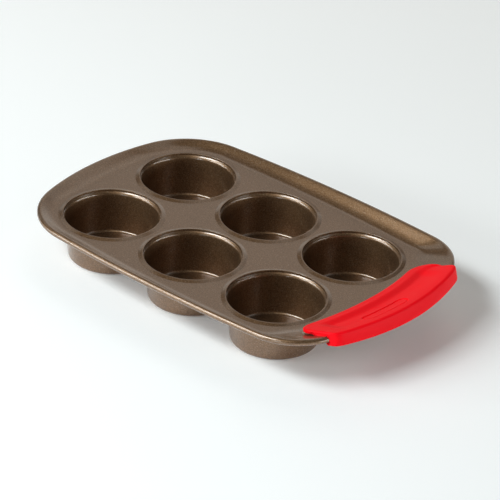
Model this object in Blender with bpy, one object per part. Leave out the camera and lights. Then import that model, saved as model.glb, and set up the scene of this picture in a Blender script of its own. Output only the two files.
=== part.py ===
"""Six-cup muffin pan with a slip-on silicone grip.

One pressed steel sheet makes the deck, the drawn cups, the flared sides and the curled
rim. A steel wire runs inside the curl, and a soft C-shaped grip slides onto the raised
handle end. Built about the centre of the cup grid, with the table at zero height, and
then shifted so that the whole object stands centred on the origin.
"""
import math

import bmesh
import bpy
from mathutils import Matrix, Vector

MM = 0.001

# Cup grid
CUP_COLUMNS = 3
CUP_ROWS = 2
CUP_PITCH = 80.0 * MM

# One cup
MOUTH_RADIUS = 33.8 * MM
CUP_DEPTH = 32.5 * MM
WALL_TAPER = math.radians(5.8)
FLOOR_FILLET = 4.5 * MM
COLLAR_WIDTH = 4.5 * MM
COLLAR_RISE = 1.4 * MM
MOUTH_ROLL = 2.0 * MM

# Sheet and deck
SHEET = 0.7 * MM
SIDE_MARGIN = 7.2 * MM
LEFT_MARGIN = 2.7 * MM
HANDLE_MARGIN = 3.7 * MM

# Flared border, from the foot of the slope to the middle of the curled rim
FLANGE_WIDTH = 10.9 * MM
LEFT_LEDGE = 16.9 * MM
HANDLE_LENGTH = 37.7 * MM
FLANGE_RISE = 4.0 * MM
RIM_TILT = 0.0180

# Slope of the handle, along which the grip slides off
HANDLE_ANGLE = math.radians(15.5)

# Plan curves of the rim and of the foot of the slope
SIDE_BOW_RADIUS = 1360.0 * MM
SIDE_BOW_CENTRE = 22.0 * MM
LEFT_END_RADIUS = 204.0 * MM
HANDLE_END_RADIUS = 183.0 * MM
RIM_LEFT_CORNER = 54.0 * MM
RIM_HANDLE_CORNER = 43.0 * MM
FOOT_LEFT_CORNER = 34.0 * MM
FOOT_HANDLE_CORNER = 9.0 * MM

# Curled rim and its wire
CURL_RADIUS = 2.3 * MM
CURL_SWEEP = math.radians(275.0)
WIRE_GAP = 0.3 * MM

# Silicone grip, measured along and square to the slope that it slides off
GRIP_HALF_LENGTH = 66.0 * MM
GRIP_GAP = 0.3 * MM
GRIP_WALL = 5.3 * MM
GRIP_SHOULDER = 2.1 * MM
GRIP_FLAP = 2.8 * MM
GRIP_FLAP_LIFT = 1.8 * MM
GRIP_LIP = 2.4 * MM
GRIP_BELLY = 1.5 * MM
GRIP_LIP_REACH = 2.0 * MM
GRIP_REACH = 26.5 * MM
GRIP_INNER_RADIUS = 250.0 * MM
GRIP_END_CORNER = 12.0 * MM
GRIP_EDGE_ROUND = 2.0 * MM
GRIP_DISH = 1.3 * MM
GRIP_DISH_HALF_LENGTH = 56.0 * MM
GRIP_DISH_END = 12.0 * MM

# Facets
CUP_SEGMENTS = 30
ROLL_STEPS = 2
FILLET_STEPS = 3
CURL_STEPS = 7
LEFT_END_STEPS = 5
LEFT_CORNER_STEPS = 8
SIDE_STEPS = 9
FAN_STEPS = 7
HANDLE_CORNER_STEPS = 4
HANDLE_END_STEPS = 7
GRIP_STEPS = 22
RISE_STEPS = (0.0, 0.16, 0.34)
RISE_BLEND = 0.34

# Rings of a cup's collar, as shares of its width and of its rise
COLLAR_STEPS = ((1.0, 0.0), (0.78, 0.25), (0.50, 0.90))

# Rows of the flap from its inner edge to its crest, as shares of the way and of the dish
DISH_STEPS = ((0.0, 0.0), (0.12, 0.0), (0.30, 0.8), (0.48, 1.0), (0.70, 0.6), (0.95, 0.0),
              (1.0, 0.0))

# Where a rounded edge's middle corner lies, how the belly fades towards the grip's ends,
# and how much less the flap lifts as the rim climbs in its frame
EDGE_CUT = 0.3
BELLY_POWER = 1.5
LIFT_LOSS = 0.4

COLLAR_RADIUS = MOUTH_RADIUS + COLLAR_WIDTH
GRID_HALF_X = (CUP_COLUMNS - 1) * CUP_PITCH / 2
GRID_HALF_Y = (CUP_ROWS - 1) * CUP_PITCH / 2
FOOT_SIDE = GRID_HALF_Y + COLLAR_RADIUS + SIDE_MARGIN
FOOT_LEFT = GRID_HALF_X + COLLAR_RADIUS + LEFT_MARGIN
FOOT_RIGHT = GRID_HALF_X + COLLAR_RADIUS + HANDLE_MARGIN
RIM_SIDE = FOOT_SIDE + FLANGE_WIDTH
RIM_LEFT = FOOT_LEFT + LEFT_LEDGE
RIM_RIGHT = FOOT_RIGHT + HANDLE_LENGTH


def clear_scene():
    """Remove every object of the scene."""
    for item in list(bpy.data.objects):
        bpy.data.objects.remove(item, do_unlink=True)


def make_material(name, colour, roughness, metallic):
    """Return a Principled material of one colour."""
    material = bpy.data.materials.new(name)
    material.use_nodes = True
    shader = material.node_tree.nodes["Principled BSDF"]
    shader.inputs["Base Color"].default_value = (*colour, 1.0)
    shader.inputs["Roughness"].default_value = roughness
    shader.inputs["Metallic"].default_value = metallic
    return material


def place_mesh(bm, name, material):
    """Write a bmesh to a new smooth-shaded object and link it to the scene."""
    mesh = bpy.data.meshes.new(name)
    bm.to_mesh(mesh)
    bm.free()
    mesh.shade_smooth()
    mesh.set_sharp_from_angle(angle=math.radians(40.0))
    mesh.materials.append(material)
    part = bpy.data.objects.new(name, mesh)
    bpy.context.scene.collection.objects.link(part)
    return part


def bridge(bm, lower, upper):
    """Join two closed rings of as many vertices with quads."""
    count = len(lower)
    for i in range(count):
        j = (i + 1) % count
        bm.faces.new((lower[i], lower[j], upper[j], upper[i]))


def smoothstep(value):
    """Ease a value from 0 to 1."""
    t = min(max(value, 0.0), 1.0)
    return t * t * (3.0 - 2.0 * t)


def corner_centre(end_centre, end_radius, side_centre, side_radius, corner, toward):
    """Centre of the corner arc that touches an end arc and a side arc from inside."""
    reach_end, reach_side = end_radius - corner, side_radius - corner
    span = side_centre - end_centre
    length = span.length
    along = (reach_end ** 2 - reach_side ** 2 + length ** 2) / (2 * length)
    height = math.sqrt(reach_end ** 2 - along ** 2)
    middle = end_centre + span * (along / length)
    normal = Vector((-span.y, span.x)) / length
    return max(middle + normal * height, middle - normal * height, key=lambda c: c.dot(toward))


def arc(centre, start, end, steps):
    """Points and outward normals along an arc, without its end point."""
    angle_a = math.atan2(start.y - centre.y, start.x - centre.x)
    angle_b = math.atan2(end.y - centre.y, end.x - centre.x)
    radius = (start - centre).length
    for i in range(steps):
        angle = angle_a + (angle_b - angle_a) * i / steps
        normal = Vector((math.cos(angle), math.sin(angle)))
        yield centre + normal * radius, normal


def rounded_outline(left, side, right, left_corner, right_corner, steps):
    """Closed plan curve of a bowed end, a corner and a bowed side, mirrored about X.

    steps holds the facets of the right end, right corner, side, left corner and left end.
    """
    end_c = Vector((right - HANDLE_END_RADIUS, 0.0))
    side_c = Vector((SIDE_BOW_CENTRE, side - SIDE_BOW_RADIUS))
    left_c = Vector((LEFT_END_RADIUS - left, 0.0))
    right_k = corner_centre(end_c, HANDLE_END_RADIUS, side_c, SIDE_BOW_RADIUS, right_corner,
                            Vector((2.0, 1.0)))
    left_k = corner_centre(left_c, LEFT_END_RADIUS, side_c, SIDE_BOW_RADIUS, left_corner,
                           Vector((-2.0, 1.0)))

    def touch(big_centre, big_radius, small_centre):
        return big_centre + (small_centre - big_centre).normalized() * big_radius

    marks = [Vector((right, 0.0)), touch(end_c, HANDLE_END_RADIUS, right_k),
             touch(side_c, SIDE_BOW_RADIUS, right_k), touch(side_c, SIDE_BOW_RADIUS, left_k),
             touch(left_c, LEFT_END_RADIUS, left_k), Vector((-left, 0.0))]
    centres = [end_c, right_k, side_c, left_k, left_c]
    half = []
    for centre, start, end, count in zip(centres, marks, marks[1:], steps):
        half.extend(arc(centre, start, end, count))
    half.append((marks[-1], Vector((-1.0, 0.0))))
    mirrored = [(Vector((p.x, -p.y)), Vector((n.x, -n.y))) for p, n in half[1:-1]]
    return half + mirrored[::-1]


def rim_outline():
    """Plan curve of the middle of the curled rim."""
    steps = (HANDLE_END_STEPS, HANDLE_CORNER_STEPS + FAN_STEPS, SIDE_STEPS,
             LEFT_CORNER_STEPS, LEFT_END_STEPS)
    return rounded_outline(RIM_LEFT, RIM_SIDE, RIM_RIGHT, RIM_LEFT_CORNER,
                           RIM_HANDLE_CORNER, steps)


def foot_outline():
    """Plan curve of the foot of the slope, with a point for each point of the rim."""
    steps = (HANDLE_END_STEPS + HANDLE_CORNER_STEPS, FAN_STEPS, SIDE_STEPS,
             LEFT_CORNER_STEPS, LEFT_END_STEPS)
    return rounded_outline(FOOT_LEFT, FOOT_SIDE, FOOT_RIGHT, FOOT_LEFT_CORNER,
                           FOOT_HANDLE_CORNER, steps)


def rim_height(point):
    """Height of the middle of the curl above the table."""
    return CUP_DEPTH + FLANGE_RISE + RIM_TILT * point.x


def rise(fraction):
    """Share of the climb from foot to rim, with a hollow start and a straight end."""
    slope = 1.0 / (1.0 - RISE_BLEND / 2)
    if fraction < RISE_BLEND:
        return slope * fraction ** 2 / (2 * RISE_BLEND)
    return slope * (fraction - RISE_BLEND / 2)


def cup_profile():
    """Radius and height of each ring of a cup's inner face, from the deck down."""
    rings = [(MOUTH_RADIUS + across * COLLAR_WIDTH, up * COLLAR_RISE)
             for across, up in COLLAR_STEPS]
    roll_z = COLLAR_RISE - MOUTH_ROLL
    for i in range(ROLL_STEPS + 1):
        angle = math.radians(90.0) + (math.radians(90.0) - WALL_TAPER) * i / ROLL_STEPS
        rings.append((MOUTH_RADIUS + MOUTH_ROLL * (1 + math.cos(angle)),
                      roll_z + MOUTH_ROLL * math.sin(angle)))
    wall_r, wall_z = rings[-1]
    fillet_z = SHEET - CUP_DEPTH + FLOOR_FILLET
    fillet_r = (wall_r - (wall_z - fillet_z) * math.tan(WALL_TAPER)
                - FLOOR_FILLET / math.cos(WALL_TAPER))
    for i in range(FILLET_STEPS + 1):
        angle = WALL_TAPER + (math.radians(90.0) - WALL_TAPER) * i / FILLET_STEPS
        rings.append((fillet_r + FLOOR_FILLET * math.cos(angle),
                      fillet_z - FLOOR_FILLET * math.sin(angle)))
    return [(radius, CUP_DEPTH + z) for radius, z in rings]


def cup_centres():
    """Middle of each cup, column by column."""
    for column in range(CUP_COLUMNS):
        for row in range(CUP_ROWS):
            yield Vector((column * CUP_PITCH - GRID_HALF_X, row * CUP_PITCH - GRID_HALF_Y))


def add_cup(bm, centre):
    """Add one drawn cup and return the ring where it meets the deck."""
    rings = []
    for radius, height in cup_profile():
        ring = []
        for i in range(CUP_SEGMENTS):
            angle = 2 * math.pi * i / CUP_SEGMENTS
            ring.append(bm.verts.new((centre.x + radius * math.cos(angle),
                                      centre.y + radius * math.sin(angle), height)))
        rings.append(ring)
    for upper, lower in zip(rings, rings[1:]):
        bridge(bm, upper, lower)
    bm.faces.new(rings[-1])
    return rings[0]


def add_border(bm):
    """Add the slope and the curled rim, and return the ring where they meet the deck."""
    stations = list(zip(foot_outline(), rim_outline()))
    columns = []
    for (foot, _), (rim, outward) in stations:
        centre = Vector((rim.x, rim.y, rim_height(rim)))
        side = Vector((outward.x, outward.y, 0.0))
        start = Vector((foot.x, foot.y, CUP_DEPTH))
        run = (centre - start).to_2d().length
        slope = math.atan2(centre.z + CURL_RADIUS - start.z, run)
        first = math.radians(90.0) + slope
        curl = []
        for i in range(CURL_STEPS + 1):
            angle = first - CURL_SWEEP * i / CURL_STEPS
            offset = side * math.cos(angle) + Vector((0.0, 0.0, math.sin(angle)))
            curl.append(centre + offset * CURL_RADIUS)
        column = []
        for fraction in RISE_STEPS:
            point = start.lerp(curl[0], fraction)
            point.z = start.z + (curl[0].z - start.z) * rise(fraction)
            column.append(point)
        columns.append(column + curl)
    rings = [[bm.verts.new(column[level]) for column in columns]
             for level in range(len(columns[0]))]
    for inner, outer in zip(rings, rings[1:]):
        bridge(bm, inner, outer)
    return rings[0]


def make_pan(material):
    """Pressed pan: deck, drawn cups, flared border and curled rim in one sheet."""
    bm = bmesh.new()
    loops = [add_border(bm)] + [add_cup(bm, centre) for centre in cup_centres()]
    edges = []
    for loop in loops:
        for i, vertex in enumerate(loop):
            edges.append(bm.edges.get((vertex, loop[(i + 1) % len(loop)])))
    filled = bmesh.ops.triangle_fill(bm, edges=edges, use_beauty=True, use_dissolve=False)
    deck = [item for item in filled["geom"] if isinstance(item, bmesh.types.BMFace)]
    bmesh.ops.recalc_face_normals(bm, faces=bm.faces)
    if deck[0].normal.z < 0:
        bmesh.ops.reverse_faces(bm, faces=bm.faces)
    pan = place_mesh(bm, "pan_body", material)
    wall = pan.modifiers.new("sheet", "SOLIDIFY")
    wall.thickness = SHEET
    wall.offset = -1.0
    wall.use_quality_normals = True
    return pan


def make_rim_wire(material):
    """Closed steel wire that the rim is curled around."""
    path = bpy.data.curves.new("rim_wire", "CURVE")
    path.dimensions = "3D"
    path.bevel_depth = CURL_RADIUS - SHEET - WIRE_GAP
    path.bevel_resolution = 1
    points = rim_outline()
    line = path.splines.new("POLY")
    line.points.add(len(points) - 1)
    for knot, (point, _) in zip(line.points, points):
        knot.co = (point.x, point.y, rim_height(point), 1.0)
    line.use_cyclic_u = True
    path.materials.append(material)
    wire = bpy.data.objects.new("rim_wire", path)
    bpy.context.scene.collection.objects.link(wire)
    return wire


def sagitta(radius, y):
    """Distance that an arc of this radius falls back at distance y from its middle."""
    return radius - math.sqrt(radius ** 2 - y ** 2)


def grip_section(y):
    """Closed outline of the grip across the handle at distance y from its middle.

    Each point is (outward, up) in the handle's slope, from the middle of the curl at the
    handle's end. Each section follows the rim up or down, so it slides off along the slope.
    """
    back = sagitta(HANDLE_END_RADIUS, y)
    rim = -back * (math.cos(HANDLE_ANGLE) + RIM_TILT * math.sin(HANDLE_ANGLE))
    level = back * (math.sin(HANDLE_ANGLE) - RIM_TILT * math.cos(HANDLE_ANGLE))
    inner = -GRIP_REACH - sagitta(GRIP_INNER_RADIUS, y)
    past_corner = max(abs(y) - (GRIP_HALF_LENGTH - GRIP_END_CORNER), 0.0)
    inner += sagitta(GRIP_END_CORNER, past_corner)
    slot = CURL_RADIUS + GRIP_GAP
    lean = 1.0 / math.sqrt(1.0 - (y / HANDLE_END_RADIUS) ** 2)
    slot_wall = rim + slot * lean
    outer = slot_wall + GRIP_WALL * lean
    crest = outer - GRIP_SHOULDER
    lift = GRIP_FLAP_LIFT - LIFT_LOSS * level
    edge = GRIP_EDGE_ROUND
    cut = EDGE_CUT * edge
    top = slot + GRIP_FLAP
    belly = GRIP_BELLY * (1.0 - abs(y / GRIP_HALF_LENGTH) ** BELLY_POWER)
    bottom = -slot - GRIP_LIP - belly
    dish = GRIP_DISH * smoothstep((GRIP_DISH_HALF_LENGTH - abs(y)) / GRIP_DISH_END)
    lip = rim - GRIP_LIP_REACH
    outline = [(inner, slot + lift), (inner, top - edge + lift), (inner + cut, top - cut + lift)]
    for share, depth in DISH_STEPS:
        outline.append((inner + edge + share * (crest - inner - 2 * edge),
                        top + lift * (1.0 - share) - depth * dish))
    outline += [(crest, top - cut), (outer, top - edge), (outer, bottom + edge),
                (outer - cut, bottom + cut), (outer - edge, bottom), (lip, bottom),
                (lip, -slot), (slot_wall, -slot), (slot_wall, slot)]
    return [(out, up + level) for out, up in outline]


def make_grip(material):
    """Silicone sleeve that hooks over the handle end, on an empty set in its slope."""
    stations = [GRIP_HALF_LENGTH * math.sin(math.radians(90.0) * (2 * i / GRIP_STEPS - 1))
                for i in range(GRIP_STEPS + 1)]
    bm = bmesh.new()
    rings = [[bm.verts.new((out, y, up)) for out, up in grip_section(y)] for y in stations]
    for near, far in zip(rings, rings[1:]):
        bridge(bm, near, far)
    bm.faces.new(rings[0])
    bm.faces.new(rings[-1])
    bmesh.ops.recalc_face_normals(bm, faces=bm.faces)
    grip = place_mesh(bm, "silicone_grip", material)
    axis = bpy.data.objects.new("grip_slide_axis", None)
    bpy.context.scene.collection.objects.link(axis)
    end = Vector((RIM_RIGHT, 0.0))
    axis.matrix_world = (Matrix.Translation((end.x, end.y, rim_height(end)))
                         @ Matrix.Rotation(-HANDLE_ANGLE, 4, "Y"))
    grip.parent = axis
    return grip, axis


def centre_on_origin(parts, anchors):
    """Shift the anchors so that the object stands on the table, centred over the origin."""
    bpy.context.view_layer.update()
    points = []
    for part in parts:
        mesh = part.evaluated_get(bpy.context.evaluated_depsgraph_get()).to_mesh()
        points.extend(part.matrix_world @ vertex.co for vertex in mesh.vertices)
    lows = [min(point[axis] for point in points) for axis in range(3)]
    highs = [max(point[axis] for point in points) for axis in range(3)]
    shift = Vector((-(lows[0] + highs[0]) / 2, -(lows[1] + highs[1]) / 2, -lows[2]))
    for anchor in anchors:
        anchor.location += shift


def main():
    """Build the pan, its rim wire and its grip."""
    clear_scene()
    coating = make_material("bronze_non_stick", (0.162, 0.119, 0.084), 0.38, 0.85)
    steel = make_material("plain_steel", (0.45, 0.44, 0.42), 0.35, 1.0)
    silicone = make_material("red_silicone", (0.84, 0.012, 0.022), 0.42, 0.0)
    pan = make_pan(coating)
    wire = make_rim_wire(steel)
    grip, axis = make_grip(silicone)
    centre_on_origin((pan, wire, grip), (pan, wire, axis))


main()
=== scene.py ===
"""Looks of a six-cup muffin pan with a slip-on silicone grip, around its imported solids.

The pressed sheet and the grip are made again as fine meshes, with the small forms that the
solids leave out, and the rim wire keeps its own mesh. All of it is in metres, in the solids'
frame.
"""
from __future__ import annotations

import logging
import math
from collections.abc import Iterator, Mapping, Sequence
from dataclasses import dataclass
from enum import Enum

import bmesh
import bpy
from mathutils import Matrix, Vector

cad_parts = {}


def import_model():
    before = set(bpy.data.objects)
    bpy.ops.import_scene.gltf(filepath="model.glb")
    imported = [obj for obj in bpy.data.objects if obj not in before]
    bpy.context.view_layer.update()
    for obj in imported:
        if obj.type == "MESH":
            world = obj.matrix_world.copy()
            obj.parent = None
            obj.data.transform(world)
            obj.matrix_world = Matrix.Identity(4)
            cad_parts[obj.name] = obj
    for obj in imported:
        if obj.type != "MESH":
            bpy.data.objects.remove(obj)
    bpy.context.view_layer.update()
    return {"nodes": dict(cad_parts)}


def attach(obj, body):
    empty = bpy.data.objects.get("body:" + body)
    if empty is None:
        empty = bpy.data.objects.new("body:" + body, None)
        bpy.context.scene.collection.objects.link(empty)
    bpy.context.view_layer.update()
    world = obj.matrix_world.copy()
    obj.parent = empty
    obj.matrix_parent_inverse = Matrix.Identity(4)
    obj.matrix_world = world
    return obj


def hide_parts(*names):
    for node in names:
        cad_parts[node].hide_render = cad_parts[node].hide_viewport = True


LOG = logging.getLogger("muffin_pan")

MM = 0.001
WHITE = (1.0, 1.0, 1.0, 1.0)

# What a noise texture is on average
NOISE_MEAN = 0.5

# Where the middle of the cup grid stands in the solids' frame
GRID_SHIFT = Vector((-14.197 * MM, 0.0, -0.006 * MM))

Colour = tuple[float, float, float]
Point2 = tuple[float, float]
Point3 = tuple[float, float, float]
# A section's corner, the radius that rounds it and whether it lies in the grip's slot
Corner = tuple[Point2, float, bool]


class Body(Enum):
    """Bodies that the pieces ride on."""

    PAN = "pan"
    GRIP = "grip"


class Slot(Enum):
    """Names of material slots for the new pieces, which this script doesn't use."""

    NON_STICK = "non_stick"
    SILICONE = "silicone"


class Signal:
    """One value of a node tree, whose arithmetic adds Math nodes."""

    def __init__(self, graph: "NodeGraph", socket: bpy.types.NodeSocket) -> None:
        """Wrap an output socket.

        Args:
            graph: The graph that the socket is in.
            socket: The output that carries the value.
        """
        self.graph = graph
        self.socket = socket

    def _math(self, operation: str, first: "Feed", second: "Feed" = 0.0) -> "Signal":
        """Add one Math node.

        Args:
            operation: Blender's name of the operation.
            first: Left operand.
            second: Right operand.

        Returns:
            The node's value.
        """
        made = self.graph.node("ShaderNodeMath", {"operation": operation},
                               {0: first, 1: second})
        return Signal(self.graph, made.outputs[0])

    def __add__(self, other: "Feed") -> "Signal":
        """Return self + other."""
        return self._math("ADD", self, other)

    def __radd__(self, other: "Feed") -> "Signal":
        """Return other + self."""
        return self._math("ADD", other, self)

    def __sub__(self, other: "Feed") -> "Signal":
        """Return self - other."""
        return self._math("SUBTRACT", self, other)

    def __rsub__(self, other: "Feed") -> "Signal":
        """Return other - self."""
        return self._math("SUBTRACT", other, self)

    def __mul__(self, other: "Feed") -> "Signal":
        """Return self * other."""
        return self._math("MULTIPLY", self, other)

    def __rmul__(self, other: "Feed") -> "Signal":
        """Return other * self."""
        return self._math("MULTIPLY", other, self)

    def __truediv__(self, other: "Feed") -> "Signal":
        """Return self / other."""
        return self._math("DIVIDE", self, other)

    def __rtruediv__(self, other: "Feed") -> "Signal":
        """Return other / self."""
        return self._math("DIVIDE", other, self)

    def __mod__(self, other: "Feed") -> "Signal":
        """Return self modulo other, for values from 0 up."""
        return self._math("MODULO", self, other)

    def __rmod__(self, other: "Feed") -> "Signal":
        """Return other modulo self, for values from 0 up."""
        return self._math("MODULO", other, self)

    def floor(self) -> "Signal":
        """Return the whole part below the value."""
        return self._math("FLOOR", self)

    def above(self, start: float, end: float) -> "Signal":
        """Ease the value from 0 at start to 1 at end.

        Args:
            start: Value where the result leaves 0.
            end: Value where the result reaches 1.

        Returns:
            The eased value.
        """
        made = self.graph.node("ShaderNodeMapRange", {"interpolation_type": "SMOOTHSTEP"},
                               {"Value": self, "From Min": start, "From Max": end})
        return Signal(self.graph, made.outputs[0])


Feed = Signal | bpy.types.NodeSocket | float | Sequence[float]


class NodeGraph:
    """Builder of a shader tree or a Geometry Nodes tree."""

    def __init__(self, tree: bpy.types.NodeTree) -> None:
        """Start on an emptied tree.

        Args:
            tree: The tree that the nodes go into.
        """
        self.tree = tree
        tree.nodes.clear()

    def node(self, kind: str, settings: Mapping[str, object] | None = None,
             inputs: Mapping[str | int, Feed] | None = None) -> bpy.types.Node:
        """Add a node, set its settings and then feed its sockets.

        Args:
            kind: Blender's type name of the node.
            settings: Properties of the node.
            inputs: Values or links of the input sockets, by name or number.

        Returns:
            The new node.
        """
        made = self.tree.nodes.new(kind)
        for name, value in (settings or {}).items():
            setattr(made, name, value)
        for key, value in (inputs or {}).items():
            self.feed(made.inputs[key], value)
        return made

    def feed(self, socket: bpy.types.NodeSocket, value: Feed) -> None:
        """Link a value to a socket, or set the socket's own value.

        Args:
            socket: The input to fill.
            value: A signal, an output socket or a plain value.
        """
        if isinstance(value, Signal):
            value = value.socket
        if isinstance(value, bpy.types.NodeSocket):
            self.tree.links.new(value, socket)
        else:
            socket.default_value = value

    def signal(self, kind: str, settings: Mapping[str, object] | None = None,
               inputs: Mapping[str | int, Feed] | None = None,
               output: str | int = 0) -> Signal:
        """Add a node and return one of its outputs as a signal.

        Args:
            kind: Blender's type name of the node.
            settings: Properties of the node.
            inputs: Values or links of the input sockets.
            output: Name or number of the output.

        Returns:
            The chosen output.
        """
        return Signal(self, self.node(kind, settings, inputs).outputs[output])


class Finish:
    """Shared parts of the finishes, each of which builds its own shader."""

    def shader(self, graph: NodeGraph) -> bpy.types.Node:
        """Build the finish's shader and return its last node."""
        raise NotImplementedError

    def material(self, name: str) -> bpy.types.Material:
        """Build the finish's material.

        Args:
            name: Name of the material.

        Returns:
            The material.
        """
        material = bpy.data.materials.new(name)
        material.use_nodes = True
        graph = NodeGraph(material.node_tree)
        surface = self.shader(graph).outputs[0]
        graph.node("ShaderNodeOutputMaterial", None, {"Surface": surface})
        return material

    @staticmethod
    def noise(graph: NodeGraph, size: float, detail: float = 2.0,
              roughness: float = 0.5) -> Signal:
        """Add noise on Object coordinates.

        Args:
            graph: The graph to add to.
            size: Size of one blotch in metres.
            detail: Number of finer layers.
            roughness: Strength of the finer layers.

        Returns:
            The noise, NOISE_MEAN on average.
        """
        place = graph.node("ShaderNodeTexCoord").outputs["Object"]
        return graph.signal("ShaderNodeTexNoise", None,
                            {"Vector": place, "Scale": 1.0 / size, "Detail": detail,
                             "Roughness": roughness}, "Fac")

    @staticmethod
    def mix(graph: NodeGraph, share: Signal, first: Colour | bpy.types.NodeSocket,
            second: Colour) -> bpy.types.NodeSocket:
        """Mix two colours by a share that varies over the surface.

        Args:
            graph: The graph to add to.
            share: Share of the second colour.
            first: First colour, or the output that carries it.
            second: Second colour.

        Returns:
            The output that carries the mixed colour.
        """
        base = first if isinstance(first, bpy.types.NodeSocket) else (*first, 1.0)
        # A Mix node's own sockets for colours are its inputs 6 and 7 and its output 2
        made = graph.node("ShaderNodeMix", {"data_type": "RGBA"},
                          {0: share, 6: base, 7: (*second, 1.0)})
        return made.outputs[2]


@dataclass(frozen=True)
class NonStickFinish(Finish):
    """Bronze non-stick coating: satin, metallic, with a fine grain of flakes."""

    dark: Colour = (0.155, 0.080, 0.036)
    light: Colour = (0.270, 0.148, 0.073)
    flake: Colour = (0.42, 0.31, 0.21)
    middle_tone: float = 0.47
    grain_contrast: float = 3.6
    drift_contrast: float = 0.3
    flake_start: float = 0.88
    flake_strength: float = 0.40
    roughness: float = 0.50
    grain_roughness: float = 0.10
    drift_roughness: float = 0.05
    varnish_roughness: float = 0.19
    varnish_ior: float = 1.70
    grain_size: float = 0.9 * MM
    flake_size: float = 0.5 * MM
    drift_size: float = 45.0 * MM
    grain_depth: float = 0.04 * MM

    def shader(self, graph: NodeGraph) -> bpy.types.Node:
        """Build a clear varnish over grained metal with lighter flakes.

        Args:
            graph: The graph to build in.

        Returns:
            The shader's last node.
        """
        grain = self.noise(graph, self.grain_size, detail=3.0, roughness=0.6)
        drift = self.noise(graph, self.drift_size, detail=1.0)
        place = graph.node("ShaderNodeTexCoord").outputs["Object"]
        cells = graph.node("ShaderNodeTexVoronoi", {"feature": "F1"},
                           {"Vector": place, "Scale": 1.0 / self.flake_size})
        cell = graph.signal("ShaderNodeSeparateColor", None, {0: cells.outputs["Color"]})
        flakes = cell.above(self.flake_start, 1.0) * self.flake_strength
        tone = (self.middle_tone + (grain - NOISE_MEAN) * self.grain_contrast
                + (drift - NOISE_MEAN) * self.drift_contrast)
        coat = self.mix(graph, tone, self.dark, self.light)
        rough = (self.roughness + (grain - NOISE_MEAN) * self.grain_roughness
                 + (drift - NOISE_MEAN) * self.drift_roughness)
        bump = graph.node("ShaderNodeBump", None,
                          {"Strength": 1.0, "Distance": self.grain_depth,
                           "Height": grain + flakes})
        return graph.node("ShaderNodeBsdfPrincipled", None,
                          {"Base Color": self.mix(graph, flakes, coat, self.flake),
                           "Metallic": 1.0, "Roughness": rough, "Normal": bump.outputs[0],
                           "Coat Weight": 1.0, "Coat IOR": self.varnish_ior,
                           "Coat Roughness": self.varnish_roughness})


@dataclass(frozen=True)
class WireFinish(Finish):
    """Plain drawn steel of the wire inside the curl."""

    dark: Colour = (0.36, 0.35, 0.33)
    light: Colour = (0.52, 0.51, 0.49)
    roughness: float = 0.34
    mark_size: float = 2.5 * MM
    mark_roughness: float = 0.2

    def shader(self, graph: NodeGraph) -> bpy.types.Node:
        """Build bare steel with faint drawing marks.

        Args:
            graph: The graph to build in.

        Returns:
            The shader's last node.
        """
        marks = self.noise(graph, self.mark_size, detail=4.0, roughness=0.6)
        rough = self.roughness + (marks - NOISE_MEAN) * self.mark_roughness
        return graph.node("ShaderNodeBsdfPrincipled", None,
                          {"Base Color": self.mix(graph, marks, self.dark, self.light),
                           "Metallic": 1.0, "Roughness": rough})


@dataclass(frozen=True)
class SiliconeFinish(Finish):
    """Moulded red silicone with a dull satin skin."""

    deep: Colour = (0.95, 0.002, 0.008)
    fresh: Colour = (1.0, 0.003, 0.010)
    roughness: float = 0.42
    gloss: float = 0.07
    cloud_size: float = 14.0 * MM
    cloud_roughness: float = 0.08
    skin_size: float = 0.7 * MM
    skin_roughness: float = 0.06
    skin_depth: float = 0.02 * MM

    def shader(self, graph: NodeGraph) -> bpy.types.Node:
        """Build a soft red body with a fine skin.

        Args:
            graph: The graph to build in.

        Returns:
            The shader's last node.
        """
        cloud = self.noise(graph, self.cloud_size)
        skin = self.noise(graph, self.skin_size)
        bump = graph.node("ShaderNodeBump", None,
                          {"Strength": 1.0, "Distance": self.skin_depth, "Height": skin})
        rough = (self.roughness + (cloud - NOISE_MEAN) * self.cloud_roughness
                 + (skin - NOISE_MEAN) * self.skin_roughness)
        return graph.node("ShaderNodeBsdfPrincipled", None,
                          {"Base Color": self.mix(graph, cloud, self.deep, self.fresh),
                           "Roughness": rough, "Normal": bump.outputs[0],
                           "Specular IOR Level": self.gloss})


@dataclass(frozen=True)
class FloorFinish(Finish):
    """Plain white floor with a faint glow of its own, like a lit sweep."""

    tone: Colour = (0.97, 0.93, 0.895)
    glow: float = 0.12
    roughness: float = 0.9
    haze_size: float = 400.0 * MM
    haze_roughness: float = 0.05

    def shader(self, graph: NodeGraph) -> bpy.types.Node:
        """Build the floor's matt white.

        Args:
            graph: The graph to build in.

        Returns:
            The shader's last node.
        """
        haze = self.noise(graph, self.haze_size, detail=1.0)
        rough = self.roughness + (haze - NOISE_MEAN) * self.haze_roughness
        return graph.node("ShaderNodeBsdfPrincipled", None,
                          {"Base Color": (*self.tone, 1.0), "Roughness": rough,
                           "Specular IOR Level": 0.0, "Emission Color": WHITE,
                           "Emission Strength": self.glow})


def smoothstep(value: float) -> float:
    """Ease a value from 0 to 1."""
    t = min(max(value, 0.0), 1.0)
    return t * t * (3.0 - 2.0 * t)


def sagitta(radius: float, y: float) -> float:
    """Return how far an arc of this radius falls back at distance y from its middle."""
    return radius - math.sqrt(radius ** 2 - y ** 2)


def spread(start: float, end: float, steps: int) -> list[float]:
    """Return steps + 1 even values from start to end."""
    return [start + (end - start) * i / steps for i in range(steps + 1)]


def between(start: Point2, end: Point2, shares: Sequence[float]) -> list[Point2]:
    """Return the points at these shares of the way from start to end."""
    return [(start[0] + share * (end[0] - start[0]), start[1] + share * (end[1] - start[1]))
            for share in shares]


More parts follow.
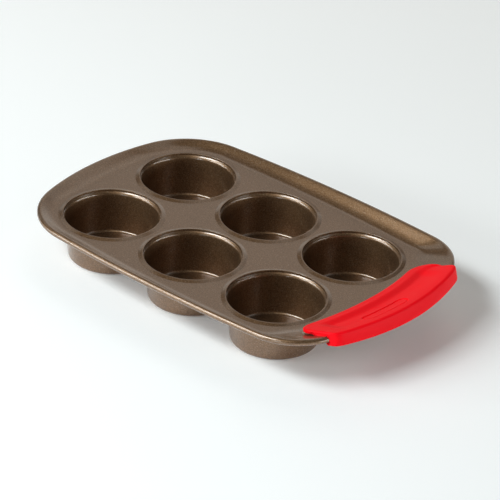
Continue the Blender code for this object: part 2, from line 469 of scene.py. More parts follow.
def link_mesh(bm: bmesh.types.BMesh, name: str,
              material: bpy.types.Material) -> bpy.types.Object:
    """Write a bmesh to a new smooth object at the origin.

    Args:
        bm: The mesh, which is freed.
        name: Name of the object.
        material: Its material.

    Returns:
        The linked object.
    """
    mesh = bpy.data.meshes.new(name)
    bm.to_mesh(mesh)
    bm.free()
    mesh.shade_smooth()
    mesh.materials.clear()
    mesh.materials.append(material)
    piece = bpy.data.objects.new(name, mesh)
    bpy.context.scene.collection.objects.link(piece)
    return piece


def bridge(bm: bmesh.types.BMesh, lower: Sequence[bmesh.types.BMVert],
           upper: Sequence[bmesh.types.BMVert]) -> None:
    """Join two closed rings of as many vertices with quads.

    Args:
        bm: The mesh to add to.
        lower: First ring.
        upper: Second ring.
    """
    count = len(lower)
    for i in range(count):
        j = (i + 1) % count
        bm.faces.new((lower[i], lower[j], upper[j], upper[i]))


@dataclass(frozen=True)
class PlanCurve:
    """Closed plan outline of bowed ends, corners and bowed sides, mirrored about X."""

    left: float
    side: float
    right: float
    left_corner: float
    right_corner: float
    steps: tuple[int, int, int, int, int]
    side_radius: float = 1360.0 * MM
    side_centre: float = 22.0 * MM
    left_radius: float = 204.0 * MM
    right_radius: float = 183.0 * MM

    @staticmethod
    def _corner(end: Vector, end_radius: float, side: Vector, side_radius: float,
                corner: float, toward: Vector) -> Vector:
        """Return the centre of the corner arc that touches both big arcs from inside.

        Args:
            end: Centre of the end's arc.
            end_radius: Radius of the end's arc.
            side: Centre of the side's arc.
            side_radius: Radius of the side's arc.
            corner: Radius of the corner.
            toward: Rough direction of the corner.

        Returns:
            The centre of the corner arc.
        """
        reach_end, reach_side = end_radius - corner, side_radius - corner
        span = side - end
        length = span.length
        along = (reach_end ** 2 - reach_side ** 2 + length ** 2) / (2 * length)
        height = math.sqrt(reach_end ** 2 - along ** 2)
        middle = end + span * (along / length)
        normal = Vector((-span.y, span.x)) / length
        return max(middle + normal * height, middle - normal * height,
                   key=lambda c: c.dot(toward))

    @staticmethod
    def _arc(centre: Vector, start: Vector, end: Vector,
             steps: int) -> Iterator[tuple[Vector, Vector]]:
        """Yield points and outward normals along an arc, without its end point.

        Args:
            centre: Centre of the arc.
            start: First point.
            end: Last point, which isn't yielded.
            steps: Number of facets.

        Yields:
            A point and its normal.
        """
        angle_a = math.atan2(start.y - centre.y, start.x - centre.x)
        angle_b = math.atan2(end.y - centre.y, end.x - centre.x)
        radius = (start - centre).length
        for i in range(steps):
            angle = angle_a + (angle_b - angle_a) * i / steps
            normal = Vector((math.cos(angle), math.sin(angle)))
            yield centre + normal * radius, normal

    def points(self) -> list[tuple[Vector, Vector]]:
        """Return each point of the outline with its outward normal."""
        end_c = Vector((self.right - self.right_radius, 0.0))
        side_c = Vector((self.side_centre, self.side - self.side_radius))
        left_c = Vector((self.left_radius - self.left, 0.0))
        right_k = self._corner(end_c, self.right_radius, side_c, self.side_radius,
                               self.right_corner, Vector((2.0, 1.0)))
        left_k = self._corner(left_c, self.left_radius, side_c, self.side_radius,
                              self.left_corner, Vector((-2.0, 1.0)))

        def touch(big: Vector, radius: float, small: Vector) -> Vector:
            """Return where the big arc meets the corner."""
            return big + (small - big).normalized() * radius

        marks = [Vector((self.right, 0.0)), touch(end_c, self.right_radius, right_k),
                 touch(side_c, self.side_radius, right_k),
                 touch(side_c, self.side_radius, left_k),
                 touch(left_c, self.left_radius, left_k), Vector((-self.left, 0.0))]
        centres = [end_c, right_k, side_c, left_k, left_c]
        half: list[tuple[Vector, Vector]] = []
        for centre, start, end, count in zip(centres, marks, marks[1:], self.steps):
            half.extend(self._arc(centre, start, end, count))
        half.append((marks[-1], Vector((-1.0, 0.0))))
        mirrored = [(Vector((p.x, -p.y)), Vector((n.x, -n.y))) for p, n in half[1:-1]]
        return half + mirrored[::-1]


@dataclass
class PressedPan:
    """Deck, drawn cups, flared border and curled rim, pressed from one sheet."""

    coating: bpy.types.Material
    columns: int = 3
    rows: int = 2
    pitch: float = 80.0 * MM
    mouth_radius: float = 33.8 * MM
    depth: float = 32.5 * MM
    wall_taper: float = math.radians(5.8)
    collar_width: float = 4.5 * MM
    collar_rise: float = 1.1 * MM
    collar_foot: float = 0.6 * MM
    crown_width: float = 0.5 * MM
    crown_dip: float = 0.03
    lip_radius: float = 0.25 * MM
    lip_turn: float = math.radians(87.0)
    lip_lean: float = 0.03 * MM
    lip_drop: float = 1.3 * MM
    throat_radius: float = 3.9 * MM
    throat_start: float = math.radians(38.0)
    floor_corner: float = 2.2 * MM
    sheet: float = 0.7 * MM
    side_margin: float = 4.5 * MM
    left_margin: float = 2.7 * MM
    handle_margin: float = 3.7 * MM
    foot_left_corner: float = 34.0 * MM
    foot_right_corner: float = 9.0 * MM
    flange_width: float = 13.6 * MM
    left_ledge: float = 16.9 * MM
    handle_length: float = 37.7 * MM
    rim_left_corner: float = 54.0 * MM
    rim_right_corner: float = 43.0 * MM
    flange_rise: float = 4.0 * MM
    rim_tilt: float = 0.0180
    curl_radius: float = 2.3 * MM
    curl_sweep: float = math.radians(275.0)
    blend_length: float = 11.0 * MM
    blend_least: float = 0.34
    blend_most: float = 0.67
    apron: float = 0.3 * MM
    apron_edge: float = 0.05 * MM
    clearance: float = 0.2 * MM
    easing: float = 1.0 * MM
    merge_distance: float = 0.004 * MM
    index_nudge: float = 0.0001
    slope_rounds: int = 4
    # Where the mesh's rings lie, as shares of the way, and how many each part has
    collar_shares: tuple[float, ...] = (0.02, 0.07, 0.15, 0.4, 0.65, 0.85, 0.94)
    crown_shares: tuple[float, ...] = (0.0, 0.35, 0.7)
    lip_shares: tuple[float, ...] = (0.08, 0.5, 0.92)
    wall_shares: tuple[float, ...] = (0.03, 0.35, 0.65, 0.97)
    floor_shares: tuple[float, ...] = (0.97, 0.6, 0.25, 0.0)
    flank_shares: tuple[float, ...] = (0.8, 0.9)
    bend_end: float = 0.7
    bend_steps: int = 14
    lip_steps: int = 4
    throat_steps: int = 9
    floor_steps: int = 9
    segments: int = 96
    curl_steps: int = 22
    end_steps: int = 28
    corner_steps: int = 14
    fan_steps: int = 24
    side_steps: int = 18
    left_corner_steps: int = 26
    left_end_steps: int = 14

    @property
    def collar_radius(self) -> float:
        """Radius where a collar meets the deck."""
        return self.mouth_radius + self.collar_width

    @property
    def foot(self) -> PlanCurve:
        """Foot of the slope, with a point for each point of the rim."""
        half_x = (self.columns - 1) * self.pitch / 2
        half_y = (self.rows - 1) * self.pitch / 2
        return PlanCurve(half_x + self.collar_radius + self.left_margin,
                         half_y + self.collar_radius + self.side_margin,
                         half_x + self.collar_radius + self.handle_margin,
                         self.foot_left_corner, self.foot_right_corner,
                         (self.end_steps + self.corner_steps, self.fan_steps,
                          self.side_steps, self.left_corner_steps, self.left_end_steps))

    @property
    def rim(self) -> PlanCurve:
        """Middle of the curled rim."""
        foot = self.foot
        return PlanCurve(foot.left + self.left_ledge, foot.side + self.flange_width,
                         foot.right + self.handle_length,
                         self.rim_left_corner, self.rim_right_corner,
                         (self.end_steps, self.corner_steps + self.fan_steps,
                          self.side_steps, self.left_corner_steps, self.left_end_steps))

    def rim_height(self, x: float) -> float:
        """Return the height of the middle of the curl above the table."""
        return self.depth + self.flange_rise + self.rim_tilt * x

    def blend(self, run: float) -> float:
        """Return the share of a slope of this run that the bend at its foot takes."""
        return max(self.blend_least, min(self.blend_most, self.blend_length / run))

    @staticmethod
    def rise(fraction: float, blend: float) -> float:
        """Return the share of the climb at a share of the way, after a bend of this share."""
        slope = 1.0 / (1.0 - blend / 2)
        if fraction < blend:
            return slope * fraction ** 2 / (2 * blend)
        return slope * (fraction - blend / 2)

    def cup_profile(self) -> list[Point2]:
        """Return radius and height of each ring of a cup, from the deck to the floor."""
        steepest = math.radians(90.0) - self.wall_taper
        start_sin, start_cos = math.sin(self.throat_start), math.cos(self.throat_start)
        throat = self.mouth_radius + self.throat_radius * (math.sin(steepest) - start_sin)
        crown = (throat + self.lip_drop / math.tan(self.lip_turn) + self.lip_lean
                 + self.lip_radius * math.sin(self.lip_turn))
        foot = self.collar_radius + self.collar_foot
        slope_top = crown + self.crown_width
        slope_rise = self.collar_rise * (1.0 - self.crown_dip)
        rings = [(foot + self.apron, 0.0), (foot + self.apron_edge, 0.0)]
        rings += between((foot, 0.0), (slope_top, slope_rise), self.collar_shares)
        for share in self.crown_shares:
            dip = self.crown_dip * (1.0 - share) ** 2
            rings.append((slope_top + share * (crown - slope_top),
                          self.collar_rise * (1.0 - dip)))
        for turn in spread(0.0, self.lip_turn, self.lip_steps):
            rings.append((crown - self.lip_radius * math.sin(turn),
                          self.collar_rise - self.lip_radius * (1.0 - math.cos(turn))))
        throat_z = rings[-1][1] - self.lip_drop
        rings += between(rings[-1], (throat, throat_z), self.lip_shares)
        for turn in spread(self.throat_start, steepest, self.throat_steps):
            rings.append((throat - self.throat_radius * (math.sin(turn) - start_sin),
                          throat_z - self.throat_radius * (start_cos - math.cos(turn))))
        wall_r, wall_z = rings[-1]
        corner = self.floor_corner
        fillet_z = self.sheet - self.depth + corner
        fillet_r = (wall_r - (wall_z - fillet_z) * math.tan(self.wall_taper)
                    - corner / math.cos(self.wall_taper))
        fillet = [(fillet_r + corner * math.cos(turn), fillet_z - corner * math.sin(turn))
                  for turn in spread(self.wall_taper, math.radians(90.0), self.floor_steps)]
        rings += between(rings[-1], fillet[0], self.wall_shares) + fillet
        floor_r, floor_z = rings[-1]
        rings += [(floor_r * share, floor_z) for share in self.floor_shares]
        return [(radius, self.depth + z) for radius, z in rings]

    def _cup_tree(self) -> bpy.types.NodeTree:
        """Build the tree that turns one profile into every cup.

        Returns:
            A tree that spins its input's points about Z and repeats the cup on a grid.
        """
        tree = bpy.data.node_groups.new("drawn_cups", "GeometryNodeTree")
        face = tree.interface
        for name, kind in (("Profile", "NodeSocketGeometry"), ("Segments", "NodeSocketInt"),
                           ("Pitch", "NodeSocketFloat"), ("Columns", "NodeSocketInt"),
                           ("Rows", "NodeSocketInt"), ("Coating", "NodeSocketMaterial")):
            face.new_socket(name, in_out="INPUT", socket_type=kind)
        face.new_socket("Cups", in_out="OUTPUT", socket_type="NodeSocketGeometry")
        graph = NodeGraph(tree)
        given = graph.node("NodeGroupInput").outputs
        segments, columns, rows, pitch = (
            Signal(graph, given[name]) for name in ("Segments", "Columns", "Rows", "Pitch"))
        count = graph.signal("GeometryNodeAttributeDomainSize", None,
                             {"Geometry": given["Profile"]}, "Point Count")
        skin = graph.node("GeometryNodeMeshGrid", None,
                          {"Size X": 1.0, "Size Y": 1.0, "Vertices X": segments + 1.0,
                           "Vertices Y": count})
        index = graph.signal("GeometryNodeInputIndex")
        ring = index % count
        # The nudge keeps a whole ratio from being rounded down
        turn = (index / count + self.index_nudge).floor() / segments * math.tau
        sample = graph.node("GeometryNodeSampleIndex", {"data_type": "FLOAT_VECTOR"},
                            {"Geometry": given["Profile"], "Index": ring,
                             "Value": graph.node("GeometryNodeInputPosition").outputs[0]})
        spun = graph.node("ShaderNodeVectorRotate", {"rotation_type": "Z_AXIS"},
                          {"Vector": sample.outputs[0], "Angle": turn})
        placed = graph.node("GeometryNodeSetPosition", None,
                            {"Geometry": skin.outputs["Mesh"], "Position": spun.outputs[0]})
        closed = graph.node("GeometryNodeMergeByDistance", None,
                            {"Geometry": placed.outputs[0],
                             "Distance": self.merge_distance})
        centres = graph.node("GeometryNodeMeshGrid", None,
                             {"Size X": (columns - 1.0) * pitch,
                              "Size Y": (rows - 1.0) * pitch,
                              "Vertices X": columns, "Vertices Y": rows})
        copies = graph.node("GeometryNodeInstanceOnPoints", None,
                            {"Points": centres.outputs["Mesh"],
                             "Instance": closed.outputs[0]})
        real = graph.node("GeometryNodeRealizeInstances", None,
                          {"Geometry": copies.outputs[0]})
        dressed = graph.node("GeometryNodeSetMaterial", None,
                             {"Geometry": real.outputs[0], "Material": given["Coating"]})
        graph.node("NodeGroupOutput", None, {0: dressed.outputs[0]})
        return tree

    def _cups(self) -> bpy.types.Mesh:
        """Make the cups as one plain mesh, from the deck down.

        Returns:
            The mesh of all the cups, with its merged seams and poles.
        """
        line = bpy.data.meshes.new("cup_profile")
        line.from_pydata([(radius, 0.0, height) for radius, height in self.cup_profile()],
                         [], [])
        maker = bpy.data.objects.new("cup_profile", line)
        bpy.context.scene.collection.objects.link(maker)
        nodes = maker.modifiers.new("cups", "NODES")
        nodes.node_group = self._cup_tree()
        wanted = {"Segments": self.segments, "Pitch": self.pitch, "Columns": self.columns,
                  "Rows": self.rows, "Coating": self.coating}
        for item in nodes.node_group.interface.items_tree:
            if item.in_out == "INPUT" and item.name in wanted:
                nodes[item.identifier] = wanted[item.name]
        bpy.context.view_layer.update()
        ready = maker.evaluated_get(bpy.context.evaluated_depsgraph_get())
        cups = bpy.data.meshes.new_from_object(ready)
        maker.modifiers.remove(nodes)
        bpy.data.objects.remove(maker, do_unlink=True)
        return cups

    def _cleared(self, point: Vector, outward: Vector) -> Vector:
        """Move a point of the slope's foot outward until it is clear of the collars.

        Args:
            point: The point in plan.
            outward: The outline's normal there.

        Returns:
            The point, eased outward where a collar is in its way.
        """
        radius = self.collar_radius + self.collar_foot + 2 * self.apron + self.clearance
        push = 0.0
        for column in range(self.columns):
            for row in range(self.rows):
                centre = Vector(((column - (self.columns - 1) / 2) * self.pitch,
                                 (row - (self.rows - 1) / 2) * self.pitch))
                away = point - centre
                along = away.dot(outward)
                left = along ** 2 - away.length_squared + radius ** 2
                if left > 0.0:
                    need = math.sqrt(left) - along
                    push = max(push, (need + math.hypot(need, self.easing)) / 2)
        return point + outward * push

    def _border(self, bm: bmesh.types.BMesh) -> list[bmesh.types.BMVert]:
        """Add the slope and the curled rim.

        Args:
            bm: The mesh to add to.

        Returns:
            The ring where the border meets the deck.
        """
        shares = spread(0.0, self.bend_end, self.bend_steps) + list(self.flank_shares)
        columns: list[list[Vector]] = []
        for (foot, inward), (rim, outward) in zip(self.foot.points(), self.rim.points()):
            centre = Vector((rim.x, rim.y, self.rim_height(rim.x)))
            side = Vector((outward.x, outward.y, 0.0))
            start = self._cleared(foot, inward).to_3d()
            start.z = self.depth
            run = (centre - start).to_2d().length
            blend = self.blend(run)
            slope = 0.0
            for _ in range(self.slope_rounds):
                climb = centre.z + self.curl_radius * math.cos(slope) - start.z
                reach = run - self.curl_radius * math.sin(slope)
                slope = math.atan2(climb, reach * (1.0 - blend / 2))
            curl = []
            for turn in spread(0.0, self.curl_sweep, self.curl_steps):
                angle = math.radians(90.0) + slope - turn
                offset = side * math.cos(angle) + Vector((0.0, 0.0, math.sin(angle)))
                curl.append(centre + offset * self.curl_radius)
            column = [start - Vector((inward.x, inward.y, 0.0)) * self.apron]
            for share in shares:
                point = start.lerp(curl[0], share)
                point.z = start.z + (curl[0].z - start.z) * self.rise(share, blend)
                column.append(point)
            columns.append(column + curl)
        rings = [[bm.verts.new(column[level]) for column in columns]
                 for level in range(len(columns[0]))]
        for inner, outer in zip(rings, rings[1:]):
            bridge(bm, inner, outer)
        return rings[0]

    def build(self) -> bpy.types.Object:
        """Make the whole pressed sheet.

        Returns:
            The pan, with its wall thickness as a modifier.
        """
        bm = bmesh.new()
        bm.from_mesh(self._cups())
        mouths = [edge for edge in bm.edges if edge.is_boundary]
        loop = self._border(bm)
        hem = [bm.edges.get((vertex, loop[(i + 1) % len(loop)]))
               for i, vertex in enumerate(loop)]
        filled = bmesh.ops.triangle_fill(bm, edges=mouths + hem, use_beauty=True,
                                         use_dissolve=False)
        deck = [item for item in filled["geom"] if isinstance(item, bmesh.types.BMFace)]
        bmesh.ops.recalc_face_normals(bm, faces=bm.faces)
        if deck[0].normal.z < 0:
            bmesh.ops.reverse_faces(bm, faces=bm.faces)
        bmesh.ops.translate(bm, verts=bm.verts, vec=GRID_SHIFT)
        pan = link_mesh(bm, "pan_sheet", self.coating)
        wall = pan.modifiers.new("sheet", "SOLIDIFY")
        wall.thickness = self.sheet
        wall.offset = -1.0
        wall.use_quality_normals = True
        return pan


@dataclass
class GripSleeve:
    """Soft C-shaped grip that hooks over the handle's end."""

    silicone: bpy.types.Material
    pan: PressedPan
    handle_angle: float = math.radians(15.5)
    half_length: float = 66.0 * MM
    gap: float = 0.15 * MM
    wall: float = 5.3 * MM
    flap: float = 2.8 * MM
    flap_lift: float = 1.8 * MM
    lift_loss: float = 0.4
    far_lift_loss: float = 0.6
    lip: float = 2.4 * MM
    belly: float = 1.7 * MM
    belly_power: float = 1.5
    belly_middle: float = 12.0 * MM
    lip_reach: float = 0.3 * MM
    reach: float = 26.9 * MM
    inner_radius: float = 250.0 * MM
    far_inner_radius: float = 175.0 * MM
    end_corner: float = 12.0 * MM
    far_corner: float = 20.0 * MM
    edge_round: float = 2.0 * MM
    crest_round: float = 2.4 * MM
    flap_slot_round: float = 0.9 * MM
    flap_top_round: float = 1.7 * MM
    lip_round: float = 0.8 * MM
    lip_slot_round: float = 0.5 * MM
    slot_round: float = 0.4 * MM
    shared_room: float = 0.48
    own_room: float = 0.96
    dish: float = 1.9 * MM
    bead_width: float = 0.13
    dish_floor: float = 0.35
    dish_crest: float = 0.96
    dish_half_length: float = 57.0 * MM
    dish_end: float = 10.0 * MM
    dish_past_end: float = 0.45
    stay_start: float = 0.25
    stay_end: float = 0.75
    end_round: float = 1.5 * MM
    end_steps: int = 5
    slot_inset: float = 0.1
    askew: float = 0.19
    askew_shift: float = 3.0 * MM
    askew_power: int = 4
    outer_corner: float = 6.0 * MM
    outer_tuck: float = 2.8 * MM
    stations: int = 340
    pad_steps: int = 110
    arc_steps: int = 5
    badge_middle: float = -10.5 * MM
    badge_half_length: float = 21.0 * MM
    badge_half_width: float = 4.8 * MM
    badge_back: float = 9.1 * MM
    badge_depth: float = 0.3 * MM
    badge_edge: float = 0.5 * MM
    badge_groove: float = 0.55 * MM
    badge_groove_width: float = 0.5 * MM

    @property
    def rim_radius(self) -> float:
        """Radius of the rim's arc at the handle's end."""
        return self.pan.rim.right_radius

    def _dish_share(self, share: float) -> float:
        """Return the dish's depth at a share of the way from inner edge to crest."""
        if share < self.dish_floor:
            return smoothstep((share - self.bead_width) / (self.dish_floor - self.bead_width))
        climb = (share - self.dish_floor) / (self.dish_crest - self.dish_floor)
        return 1.0 - smoothstep(climb)

    def _badge(self, out: float, y: float, crest: float) -> float:
        """Return how deep the bare pill-shaped recess is at a point of the pad.

        Args:
            out: Distance outward in the handle's slope.
            y: Distance from the grip's middle.
            crest: Where the crest lies in the same section.

        Returns:
            The recess's depth.
        """
        core = self.badge_half_length - self.badge_half_width
        along = max(abs(y - self.badge_middle) - core, 0.0)
        across = out - (crest - self.badge_back)
        rim = self.badge_half_width - math.hypot(along, across)
        groove = math.exp(-((rim - self.badge_groove_width) / self.badge_groove_width) ** 2)
        return self.badge_depth * smoothstep(rim / self.badge_edge) + self.badge_groove * groove

    def _rim(self, y: float) -> Point2:
        """Return where the curl's middle lies at distance y, outward and up the slope."""
        back = sagitta(self.rim_radius, y)
        cos, sin = math.cos(self.handle_angle), math.sin(self.handle_angle)
        tilt = self.pan.rim_tilt
        return -back * (cos + tilt * sin), back * (sin - tilt * cos)

    def _seated(self, point: Vector, y: float) -> Point3:
        """Return a section point's place, with the soft ends sitting a little askew.

        Args:
            point: The point as (outward, up) in the handle's slope.
            y: Distance of its section from the grip's middle.

        Returns:
            The point as (outward, along, up), moved along the rim.
        """
        share = (y / self.half_length) ** self.askew_power
        moved = y + share * (self.askew_shift + self.askew * point.x)
        before, after = self._rim(y), self._rim(moved)
        return point.x + after[0] - before[0], moved, point.y + after[1] - before[1]

    def _controls(self, y: float) -> tuple[list[Corner], float]:
        """Return the corners of the section at distance y from the grip's middle.

        Args:
            y: Distance from the middle.

        Returns:
            The corners and the section's level.
        """
        rim, level = self._rim(y)
        far = y > 0.0
        corner = self.far_corner if far else self.end_corner
        inner = -self.reach - sagitta(self.far_inner_radius if far else self.inner_radius, y)
        past = max(abs(y) - (self.half_length - corner), 0.0)
        inner += sagitta(corner, min(past, corner))
        slot = self.pan.curl_radius + self.gap
        lean = 1.0 / math.sqrt(1.0 - (y / self.rim_radius) ** 2)
        slot_wall = rim + slot * lean
        turned = max(1.0 - (self.half_length - abs(y)) / self.outer_corner, 0.0)
        tuck = self.outer_tuck * (1.0 - math.sqrt(1.0 - min(turned, 1.0) ** 2))
        outer = slot_wall + self.wall * lean - tuck
        crest = outer - self.crest_round
        lift = self.flap_lift - (self.far_lift_loss if far else self.lift_loss) * level
        edge = self.edge_round
        top = slot + self.flap
        span = self.half_length + self.belly_middle
        fade = 1.0 - abs((y - self.belly_middle) / span) ** self.belly_power
        bottom = -slot - self.lip - self.belly * fade
        stay = (y / self.half_length - self.stay_start) / (self.stay_end - self.stay_start)
        stays = self.dish_past_end * smoothstep(stay)
        inside = smoothstep((self.dish_half_length - abs(y)) / self.dish_end)
        dish = self.dish * (stays + (1.0 - stays) * inside)
        lip = rim - self.lip_reach
        corners: list[Corner] = [((inner, slot + lift), self.flap_slot_round, True),
                                 ((inner, top + lift), self.flap_top_round, False)]
        for share in spread(0.0, 1.0, self.pad_steps):
            out = inner + edge + share * (crest - inner - edge)
            up = (top + lift * (1.0 - share) - dish * self._dish_share(share)
                  - self._badge(out, y, crest))
            corners.append(((out, up), 0.0, False))
        corners += [((outer, top), self.crest_round, False), ((outer, bottom), edge, False),
                    ((lip, bottom), self.lip_round, False),
                    ((lip, -slot), self.lip_slot_round, True),
                    ((slot_wall, -slot), self.slot_round, True),
                    ((slot_wall, slot), self.slot_round, True)]
        return corners, level

    def _round(self, corners: Sequence[Corner]) -> tuple[list[Vector], list[bool]]:
        """Replace each corner that has a radius by an arc.

        Args:
            corners: The section's corners.

        Returns:
            The section's points, as many for every section, and which lie in the slot.
        """
        places = [Vector(place) for place, _, _ in corners]
        points: list[Vector] = []
        slotted: list[bool] = []
        for i, (_, radius, in_slot) in enumerate(corners):
            here = places[i]
            slotted += [in_slot] * (self.arc_steps + 1 if radius else 1)
            if not radius:
                points.append(here)
                continue
            beside = i - 1, (i + 1) % len(corners)
            before, after = (places[j] - here for j in beside)
            rooms = [side.length * (self.shared_room if corners[j][1] else self.own_room)
                     for side, j in zip((before, after), beside)]
            reach = min(radius / math.tan(before.angle(after) / 2), *rooms)
            start = here + before.normalized() * reach
            end = here + after.normalized() * reach
            for t in spread(0.0, 1.0, self.arc_steps):
                points.append(start * (1 - t) ** 2 + here * (2 * t * (1 - t)) + end * t ** 2)
        return points, slotted

    def section(self, y: float, inset: float) -> list[Vector]:
        """Return the closed section at distance y, drawn in by an inset.

        Args:
            y: Distance from the grip's middle.
            inset: How far the section is drawn in towards its own middle.

        Returns:
            Points as (outward, up) in the handle's slope.
        """
        corners, level = self._controls(y)
        points, slotted = self._round(corners)
        count = len(points)
        drawn = []
        for i, point in enumerate(points):
            run = points[(i + 1) % count] - points[i - 1]
            normal = Vector((run.y, -run.x)).normalized() if run.length else Vector((0, 0))
            share = self.slot_inset if slotted[i] else 1.0
            drawn.append(point + normal * (inset * share) + Vector((0.0, level)))
        return drawn

    def build(self) -> bpy.types.Object:
        """Make the sleeve.

        Returns:
            The grip as one closed mesh.
        """
        reach = self.half_length - self.end_round
        plan: list[tuple[float, float]] = []
        for turn in spread(90.0, 0.0, self.end_steps)[:-1]:
            angle = math.radians(turn)
            plan.append((-reach - self.end_round * math.sin(angle),
                         self.end_round * (1 - math.cos(angle))))
        plan += [(y, 0.0) for y in spread(-reach, reach, self.stations)]
        plan += [(-y, inset) for y, inset in reversed(plan[:self.end_steps])]
        bm = bmesh.new()
        rings = [[bm.verts.new(self._seated(point, y)) for point in self.section(y, inset)]
                 for y, inset in plan]
        for near, far in zip(rings, rings[1:]):
            bridge(bm, near, far)
        caps = [bm.faces.new(rings[0]), bm.faces.new(rings[-1])]
        bmesh.ops.triangulate(bm, faces=caps)
        bmesh.ops.recalc_face_normals(bm, faces=bm.faces)
        end_x = self.pan.rim.right
        rim_end = GRID_SHIFT + Vector((end_x, 0.0, self.pan.rim_height(end_x)))
        seat = Matrix.Translation(rim_end) @ Matrix.Rotation(-self.handle_angle, 4, "Y")
        bmesh.ops.transform(bm, matrix=seat, verts=bm.verts)
        return link_mesh(bm, "grip_sleeve", self.silicone)


@dataclass
class RimWire:
    """Steel wire inside the curl, which keeps its own solid."""

    steel: bpy.types.Material

    def dress(self, node: bpy.types.Object) -> None:
        """Give the wire's node its finish.

        Args:
            node: The node's object.
        """
        for slot in node.material_slots:
            slot.material = self.steel


@dataclass(frozen=True)
class SoftBox:
    """Rectangular tinted light, placed by its direction as the pan sees it, in degrees."""

    name: str
    azimuth: float
    elevation: float
    size: Point2
    glow: float
    tone: Colour


# Tints of the key lights and of the lights behind the pan
COOL = (0.84, 0.95, 1.0)
WARM = (1.0, 0.95, 0.86)

SOFT_BOXES = (
    SoftBox("low_left", 220.0, 5.0, (1.0, 0.3), 7.0, COOL),
    SoftBox("low_right", 285.0, 5.0, (0.5, 0.3), 9.0, COOL),
    SoftBox("low", 240.0, 20.0, (1.5, 0.3), 11.0, COOL),
    SoftBox("middle", 235.0, 40.0, (0.8, 0.3), 12.0, COOL),
    SoftBox("key", 255.0, 50.0, (1.0, 0.4), 20.0, COOL),
    SoftBox("side", 20.0, 5.0, (2.0, 0.3), 10.0, COOL),
    SoftBox("side_high", 25.0, 40.0, (0.8, 0.6), 1.2, COOL),
    SoftBox("back_low", 125.0, 10.0, (2.6, 0.7), 0.7, WARM),
    SoftBox("back_middle", 125.0, 30.0, (1.4, 0.7), 0.5, WARM),
    SoftBox("back_high", 120.0, 45.0, (1.4, 0.5), 0.8, WARM),
    SoftBox("back_left", 170.0, 35.0, (0.5, 1.1), 0.7, WARM),
    SoftBox("high", 100.0, 65.0, (1.4, 0.6), 0.75, WARM),
)


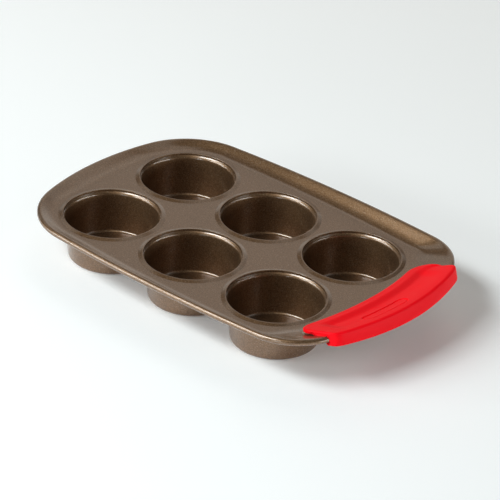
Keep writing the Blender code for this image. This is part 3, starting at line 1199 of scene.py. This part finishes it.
@dataclass
class Studio:
    """Camera, pale floor and soft lights."""

    azimuth: float = math.radians(41.436)
    elevation: float = math.radians(30.025)
    roll: float = math.radians(2.513)
    distance: float = 2453.7 * MM
    focal_px: float = 3420.0
    middle_px: Point2 = (231.022, 234.072)
    frame_px: float = 500.0
    sensor: float = 36.0
    look_at: Vector = Vector((-14.197 * MM, 0.0, 33.894 * MM))
    view_depth: float = 20.0
    floor_half: float = 3.0
    floor_drop: float = 0.02 * MM
    box_distance: float = 2.0
    fill: float = 0.02
    wall: float = 0.95

    def camera(self) -> bpy.types.Object:
        """Set the camera at the photograph's angle.

        Returns:
            The camera, which is made the scene's own.
        """
        data = bpy.data.cameras.new("camera")
        data.sensor_width = self.sensor
        data.lens = self.focal_px / self.frame_px * self.sensor
        data.shift_x = -(self.middle_px[0] - self.frame_px / 2) / self.frame_px
        data.shift_y = (self.middle_px[1] - self.frame_px / 2) / self.frame_px
        data.clip_end = self.view_depth
        back = Vector((math.sin(self.azimuth) * math.cos(self.elevation),
                       -math.cos(self.azimuth) * math.cos(self.elevation),
                       math.sin(self.elevation)))
        right = Vector((math.cos(self.azimuth), math.sin(self.azimuth), 0.0))
        up = back.cross(right)
        turned_right = right * math.cos(self.roll) + up * math.sin(self.roll)
        turned_up = up * math.cos(self.roll) - right * math.sin(self.roll)
        place = Matrix((turned_right, turned_up, back)).transposed().to_4x4()
        place.translation = self.look_at + back * self.distance
        camera = bpy.data.objects.new("camera", data)
        camera.matrix_world = place
        bpy.context.scene.collection.objects.link(camera)
        bpy.context.scene.camera = camera
        return camera

    def floor(self, finish: FloorFinish) -> bpy.types.Object:
        """Lay the floor.

        Args:
            finish: The floor's finish.

        Returns:
            The floor.
        """
        bm = bmesh.new()
        bmesh.ops.create_grid(bm, x_segments=2, y_segments=2, size=self.floor_half)
        bmesh.ops.translate(bm, verts=bm.verts, vec=(0.0, 0.0, -self.floor_drop))
        floor = link_mesh(bm, "floor", finish.material("pale_floor"))
        return floor

    def hang(self, box: SoftBox) -> bpy.types.Object:
        """Hang a soft light that faces the pan.

        Args:
            box: The light's place, size and strength.

        Returns:
            The light.
        """
        data = bpy.data.lights.new(box.name, "AREA")
        data.shape = "RECTANGLE"
        data.size, data.size_y = box.size
        data.energy = box.glow * math.pi * box.size[0] * box.size[1]
        data.color = box.tone
        turn, lift = math.radians(box.azimuth), math.radians(box.elevation)
        toward = Vector((math.cos(turn) * math.cos(lift), math.sin(turn) * math.cos(lift),
                         math.sin(lift)))
        light = bpy.data.objects.new(box.name, data)
        light.matrix_world = (Matrix.Translation(self.look_at + toward * self.box_distance)
                              @ toward.to_track_quat("Z", "Y").to_matrix().to_4x4())
        bpy.context.scene.collection.objects.link(light)
        return light

    def surroundings(self) -> None:
        """Show a pale wall to the camera and leave the pan only a little of its light."""
        scene = bpy.context.scene
        scene.world = bpy.data.worlds.new("studio")
        scene.world.use_nodes = True
        graph = NodeGraph(scene.world.node_tree)
        seen = graph.node("ShaderNodeLightPath").outputs["Is Camera Ray"]
        dim, wall = (graph.node("ShaderNodeBackground", None,
                                {"Color": WHITE, "Strength": strength})
                     for strength in (self.fill, self.wall))
        shell = graph.node("ShaderNodeMixShader", None,
                           {0: seen, 1: dim.outputs[0], 2: wall.outputs[0]})
        graph.node("ShaderNodeOutputWorld", None, {"Surface": shell.outputs[0]})

    def build(self) -> None:
        """Set up the camera, the floor and the lights."""
        self.camera()
        self.floor(FloorFinish())
        self.surroundings()
        for box in SOFT_BOXES:
            self.hang(box)
        bpy.context.scene.view_settings.view_transform = "Standard"


def main() -> None:
    """Build the pan's pieces around the frame."""
    logging.basicConfig(level=logging.INFO, format="%(name)s: %(message)s")
    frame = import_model()
    Studio().build()

    pan = PressedPan(NonStickFinish().material("bronze_non_stick"))
    sheet = pan.build()
    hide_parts("pan_body")
    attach(sheet, Body.PAN.value)
    LOG.info("pan sheet: %d faces", len(sheet.data.polygons))

    sleeve = GripSleeve(SiliconeFinish().material("red_silicone"), pan).build()
    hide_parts("silicone_grip")
    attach(sleeve, Body.GRIP.value)
    LOG.info("grip sleeve: %d faces", len(sleeve.data.polygons))

    RimWire(WireFinish().material("plain_steel")).dress(frame["nodes"]["rim_wire"])
    LOG.info("rim wire dressed")

    bpy.context.view_layer.update()


if __name__ == "__main__":
    main()
